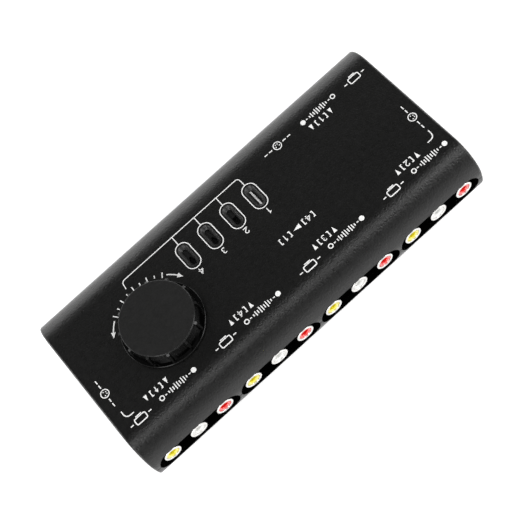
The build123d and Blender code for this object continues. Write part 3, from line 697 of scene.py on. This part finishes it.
# Marks beside each group of sockets: plain signs for sound, picture and the four-pin sockets
SOUND_REACH, SOUND_PITCH, SOUND_HEIGHT = 8.3, 1.14, 2.9
SOUND_BARS = (0.4, 0.72, 1.0, 0.62, 0.9, 1.0, 0.55, 0.8, 0.38)
SOUND_DISC, SOUND_RING = 1.15, 0.95
SOUND_DASH = (SOUND_REACH - 2.6, SOUND_REACH - 1.7)
SCREEN_UP, SCREEN_WIDTH, SCREEN_HEIGHT, SCREEN_ROUND, SCREEN_STEPS = 0.35, 5.4, 2.7, 0.6, 4
STAND_HALF, STAND_DROP, SCREEN_DASH = 1.5, 1.65, (3.9, 5.4)
FACE_RADIUS, FACE_STEPS, PIN_RADIUS, PIN_STEPS = 1.8, 32, 0.26, 12
PINS = ((-0.85, 0.3), (0.85, 0.3), (-0.45, -0.75), (0.45, -0.75))
FACE_DASHES = ((2.9, 4.6), (5.4, 7.1))
FLOW_HALF, FLOW_REACH = 0.85, 1.4
BRACKET = ((1.95, 1.25), (2.7, 1.25), (2.7, -1.25), (1.95, -1.25))
UP_TAIL, UP_NECK, UP_HALF, UP_BASE, UP_TIP = 1.4, 0.2, 0.9, 0.1, 1.45


def dashes(marks, centre, spans, turn=False):
    """Pairs of short dashes on both sides of a point, along X or, turned, along Y."""
    x, y = centre
    for side in (-1, 1):
        for span in spans:
            marks.line([(x + (0 if turn else side * d), y + (side * d if turn else 0)) for d in span])


def sound_sign(marks, centre, toward):
    """Two round marks joined by dashes and sound bars: filled for the right channel, open for the left."""
    x, y = centre
    marks.disc((x - toward * SOUND_REACH, y), SOUND_DISC)
    marks.line(circle((x + toward * SOUND_REACH, y), SOUND_RING, CIRCLE_STEPS), closed=True)
    dashes(marks, centre, [SOUND_DASH])
    for i, share in enumerate(SOUND_BARS):
        bar = x + (i - (len(SOUND_BARS) - 1) / 2) * SOUND_PITCH
        marks.line([(bar, y - SOUND_HEIGHT * share / 2), (bar, y + SOUND_HEIGHT * share / 2)])


def picture_sign(marks, centre):
    """A plain screen on its stand, between two dashes."""
    x, y = centre
    middle = (x, y + SCREEN_UP)
    marks.line(capsule(middle, SCREEN_WIDTH, SCREEN_HEIGHT, SCREEN_ROUND, SCREEN_STEPS), closed=True)
    marks.line([(x - STAND_HALF, y - STAND_DROP), (x + STAND_HALF, y - STAND_DROP)])
    dashes(marks, middle, [SCREEN_DASH])


def four_pin_sign(marks, centre, turn):
    """The face of a four-pin socket between dashes, turned a quarter when it stands at an end."""
    x, y = centre
    marks.line(circle(centre, FACE_RADIUS, FACE_STEPS), width=THIN_STROKE, closed=True)
    for u, v in PINS:
        marks.disc((x + (v if turn else u), y + (-u if turn else v)), PIN_RADIUS, PIN_STEPS)
    dashes(marks, centre, FACE_DASHES, turn)


def flow_arrow(marks, centre, toward):
    """A slim solid triangle, its tip towards +Y or -Y."""
    x, y = centre
    reach = toward * FLOW_REACH
    triangle = [(x - FLOW_HALF, y - reach), (x + FLOW_HALF, y - reach), (x, y + reach)]
    marks.outline(triangle if toward > 0 else triangle[::-1])


def brackets(marks, centre):
    """Two square brackets round a point."""
    x, y = centre
    for side in (-1, 1):
        marks.line([(x + side * u, y + v) for u, v in BRACKET])


def up_arrow(marks, centre):
    """A plain arrow towards +Y."""
    x, y = centre
    marks.line([(x, y - UP_TAIL), (x, y + UP_NECK)])
    marks.outline([(x - UP_HALF, y + UP_BASE), (x + UP_HALF, y + UP_BASE), (x, y + UP_TIP)])


# Middle of each group's sound row; the rear rows stand a little wider apart than their sockets
SOUND_X = {"in1": -59.2, "in2": -76.0, "in3": -31.05, "in4": 13.9, "out": 58.85}
REAR_SIGN_Y, REAR_NAME_Y, FRONT_SIGN_Y, FRONT_NAME_Y = 26.2, 21.6, -24.4, -19.9
REAR_NAME_ON, REAR_PICTURE_ON, FRONT_NAME_ON, FRONT_PICTURE_ON = 7.95, 19.7, 1.9, -20.3
NAME_REACH = 5.2
for group, sound_x in SOUND_X.items():
    rear, outlet = group != "in1", group == "out"
    sign_y, name_y = (REAR_SIGN_Y, REAR_NAME_Y) if rear else (FRONT_SIGN_Y, FRONT_NAME_Y)
    name_x = sound_x + (REAR_NAME_ON if rear else FRONT_NAME_ON)
    marks = Print()
    sound_sign(marks, (sound_x, sign_y), 1 if rear else -1)
    picture_sign(marks, (sound_x + (REAR_PICTURE_ON if rear else FRONT_PICTURE_ON), sign_y))
    for side in (-1, 1):
        flow_arrow(marks, (name_x + side * NAME_REACH, name_y), 1 if rear == outlet else -1)
    brackets(marks, (name_x, name_y))
    if outlet:
        up_arrow(marks, (name_x, name_y))
    else:
        marks.numeral(group[-1], (name_x, name_y))
    marks.build(f"marks_{group}")

# Signs of the four-pin sockets, and the short corner lines that tie two of them to their groups
END_SIGN_IN, CORNER_LEG, CORNER_ROUND = 5.4, 3.9, 2.6
CORNERS = (("in2", -1, (-83.8, 21.0)), ("out", 1, (83.1, 22.4)))
marks = Print()
front_x = mounts["in1_svideo_core"]["pos_m"][0] / MM
four_pin_sign(marks, (front_x, FRONT_SIGN_Y), False)
for group, side, corner in CORNERS:
    end_y = mounts[f"{group}_svideo_core"]["pos_m"][1] / MM
    four_pin_sign(marks, (side * (HALF_LENGTH / MM - END_SIGN_IN), end_y), True)
    legs = [(corner[0], corner[1] - CORNER_LEG), corner, (corner[0] - side * CORNER_LEG, corner[1])]
    marks.line(rounded(legs, CORNER_ROUND))
marks.build("marks_four_pin")

# Four to one
RATIO_X, RATIO_Y, RATIO_STEP = -18.15, 10.2, 6.2
RATIO_HEAD, RATIO_TAIL, RATIO_TIP = 1.1, 1.7, 1.8
marks = Print()
for number, side in (("4", -1), ("1", 1)):
    spot = (RATIO_X + side * RATIO_STEP, RATIO_Y)
    brackets(marks, spot)
    marks.numeral(number, spot)
tail_x, tip = RATIO_X - RATIO_TAIL, (RATIO_X + RATIO_TIP, RATIO_Y)
marks.outline([(tail_x, RATIO_Y - RATIO_HEAD), tip, (tail_x, RATIO_Y + RATIO_HEAD)])
marks.build("marks_ratio")


# Stage: a pale floor, a soft studio and the camera
def light_path_mask(tree):
    """One for camera, glossy and transmission rays, which see the white background."""
    path = tree.nodes.new("ShaderNodeLightPath")
    total = path.outputs["Is Camera Ray"]
    for name in ("Is Glossy Ray", "Is Transmission Ray"):
        both = tree.nodes.new("ShaderNodeMath")
        both.operation = "MAXIMUM"
        tree.links.new(total, both.inputs[0])
        tree.links.new(path.outputs[name], both.inputs[1])
        total = both.outputs[0]
    return total


FLOOR_HALF, FLOOR_PAINT, FLOOR_GLOW = 4.0, (0.78, 0.78, 0.78, 1.0), 0.57
FLOOR_CORNERS = ((-1, -1), (1, -1), (1, 1), (-1, 1))
floor_mesh = bpy.data.meshes.new("floor")
floor_points = [(x * FLOOR_HALF, y * FLOOR_HALF, 0.0) for x, y in FLOOR_CORNERS]
floor_mesh.from_pydata(floor_points, [], [(0, 1, 2, 3)])
floor = bpy.data.objects.new("floor", floor_mesh)
bpy.context.scene.collection.objects.link(floor)
floor_look = bpy.data.materials.new("floor")
floor_look.use_nodes = True
tree = floor_look.node_tree
tree.nodes.remove(tree.nodes["Principled BSDF"])
paint, glow, both = (tree.nodes.new(f"ShaderNode{kind}") for kind in ("BsdfDiffuse", "Emission", "AddShader"))
paint.inputs["Color"].default_value = FLOOR_PAINT
scaled = tree.nodes.new("ShaderNodeMath")
scaled.operation = "MULTIPLY"
scaled.inputs[1].default_value = FLOOR_GLOW
tree.links.new(light_path_mask(tree), scaled.inputs[0])
tree.links.new(scaled.outputs[0], glow.inputs["Strength"])
tree.links.new(paint.outputs[0], both.inputs[0])
tree.links.new(glow.outputs[0], both.inputs[1])
tree.links.new(both.outputs[0], tree.nodes["Material Output"].inputs["Surface"])
floor_mesh.materials.append(floor_look)

# The world's grey by height: bright at the horizon, dim overhead
SKY = ((0.0, 1.0), (0.15, 0.9), (0.45, 0.45), (0.8, 0.14), (1.0, 0.08))
world = bpy.data.worlds.new("studio")
bpy.context.scene.world = world
world.use_nodes = True
tree = world.node_tree
background = tree.nodes["Background"]
direction = tree.nodes.new("ShaderNodeTexCoord")
split = tree.nodes.new("ShaderNodeSeparateXYZ")
sky = tree.nodes.new("ShaderNodeValToRGB")
tree.links.new(direction.outputs["Generated"], split.inputs[0])
tree.links.new(split.outputs["Z"], sky.inputs["Fac"])
ramp = sky.color_ramp.elements
ramp[0].position, ramp[-1].position = SKY[0][0], SKY[-1][0]
for height, _ in SKY[1:-1]:
    ramp.new(height)
for element, (_, grey) in zip(ramp, SKY):
    element.color = (grey, grey, grey, 1.0)
tree.links.new(sky.outputs["Color"], background.inputs["Color"])
background.inputs["Strength"].default_value = 1.0


def aimed(made, place, target, roll=0.0):
    """Puts a lamp or camera at a place, looking at a target."""
    bpy.context.scene.collection.objects.link(made)
    way = Vector(target) - Vector(place)
    turn = way.to_track_quat("-Z", "Y").to_matrix() @ Matrix.Rotation(math.radians(roll), 3, "Z")
    made.matrix_world = Matrix.Translation(place) @ turn.to_4x4()
    return made


# Each lamp's name, place, size and power; the paired ones stand on both sides
LAMP_TARGET = (0.0, 0.0, 0.02)
MIDDLE_LAMPS = (
    ("rear_overhead", (0.0, 0.44, 1.19), (1.6, 0.5), 2.2),
    ("rear_strip", (0.0, 0.45, 1.18), (1.6, 0.06), 1.3),
    ("front_low", (0.0, -1.25, 0.33), (2.0, 0.6), 4.2),
)
PAIRED_LAMPS = (
    ("side", (0.78, 0.52, 0.92), (0.6, 0.6), 5.2),
    ("rear_corner", (1.0, 0.85, 0.25), (0.5, 0.4), 2.6),
    ("front_corner", (1.15, -0.62, 0.42), (0.6, 0.4), 3.0),
)


def softbox(name, place, size, power):
    """A rectangular lamp that faces the part."""
    lamp = bpy.data.lights.new(name, "AREA")
    lamp.shape = "RECTANGLE"
    lamp.size, lamp.size_y = size
    lamp.energy = power
    return aimed(bpy.data.objects.new(name, lamp), place, LAMP_TARGET)


for lamp_values in MIDDLE_LAMPS:
    softbox(*lamp_values)
for side in (-1, 1):
    for name, (x, y, z), size, power in PAIRED_LAMPS:
        softbox(name, (side * x, y, z), size, power)

CAMERA_LENS, CAMERA_SENSOR = 83.72, 36.0
CAMERA_PLACE, CAMERA_TARGET = (0.02608, 0.22909, 0.47165), (0.00156, 0.01142, 0.03213)
CAMERA_ROLL = -36.24
camera = bpy.data.cameras.new("camera")
camera.lens = CAMERA_LENS
camera.sensor_width = CAMERA_SENSOR
camera_object = bpy.data.objects.new("camera", camera)
bpy.context.scene.camera = aimed(camera_object, CAMERA_PLACE, CAMERA_TARGET, CAMERA_ROLL)
bpy.context.scene.view_settings.view_transform = "Standard"
